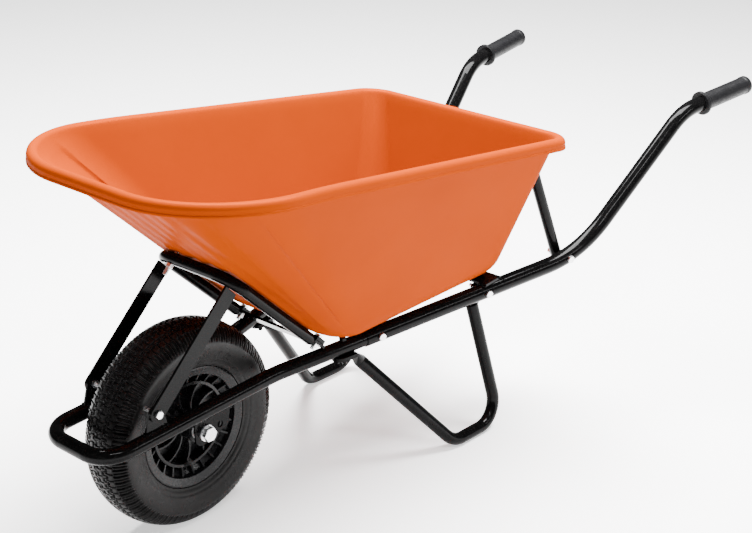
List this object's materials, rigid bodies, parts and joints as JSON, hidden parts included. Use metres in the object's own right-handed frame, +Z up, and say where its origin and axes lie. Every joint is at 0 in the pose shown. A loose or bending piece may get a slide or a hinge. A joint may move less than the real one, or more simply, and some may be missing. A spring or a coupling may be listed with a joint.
{
  "type": "wheelbarrow",
  "caption": "Single-wheel barrow with a deep plastic tray on a bent tube frame, looped legs, rubber grips and a ribbed pneumatic wheel.",
  "frame": {"origin": "on the ground under the middle of the overall box", "axes": "+X from the wheel to the handles, +Y to the barrow's right, +Z up"},
  "size_m": [1.5874, 0.647, 0.6819],
  "materials": {
    "tray_plastic": "satin",
    "frame_paint": "gloss",
    "grip_rubber": "matte",
    "tyre_rubber": "matte",
    "rim_plastic": "satin",
    "tube_rubber": "matte",
    "cap_plastic": "satin",
    "bearing_steel": "satin",
    "zinc": "bright"
  },
  "bodies": {
    "frame": {"front_loop": "frame_paint", "left_handle": "frame_paint", "right_handle": "frame_paint", "left_grip": "grip_rubber", "right_grip": "grip_rubber", "left_leg": "frame_paint", "right_leg": "frame_paint", "front_hoop": "frame_paint", "left_strap": "frame_paint", "right_strap": "frame_paint", "left_strap_tab": "frame_paint", "right_strap_tab": "frame_paint", "left_axle_plate": "frame_paint", "right_axle_plate": "frame_paint", "front_cross_bar": "frame_paint", "rear_cross_plate": "frame_paint", "left_stay": "frame_paint", "right_stay": "frame_paint", "tray": "tray_plastic", "sleeve_bolts": "zinc", "sleeve_nuts": "zinc", "leg_bolts": "frame_paint", "leg_nuts": "frame_paint", "rear_joint_bolts": "zinc", "rear_joint_nuts": "zinc", "stay_foot_bolts": "zinc", "stay_foot_nuts": "zinc", "stay_top_bolts": "zinc", "stay_top_nuts": "zinc", "strap_bolts": "zinc", "strap_nuts": "zinc", "hoop_end_bolts": "zinc", "hoop_end_nuts": "zinc", "hoop_tray_bolt": "zinc", "hoop_tray_nut": "zinc", "floor_bolts": "zinc", "floor_nuts": "frame_paint", "axle_bolt": "zinc", "axle_nut": "zinc", "axle_washers": "zinc", "left_spacer": "zinc", "right_spacer": "zinc", "bearing_spacer": "zinc", "left_inner_race": "bearing_steel", "right_inner_race": "bearing_steel"},
    "wheel": {"left_outer_race": "bearing_steel", "right_outer_race": "bearing_steel", "left_balls": "bearing_steel", "right_balls": "bearing_steel", "rim": "rim_plastic", "tyre": "tyre_rubber", "inner_tube": "tube_rubber", "valve_stem": "tube_rubber", "valve_cap": "cap_plastic"}
  },
  "joints": [
    {"name": "wheel_spin", "type": "hinge", "parent": "frame", "child": "wheel", "pos_m": [-0.55045, 0, 0.19], "axis": [0, 1, 0], "continuous": true}
  ]
}
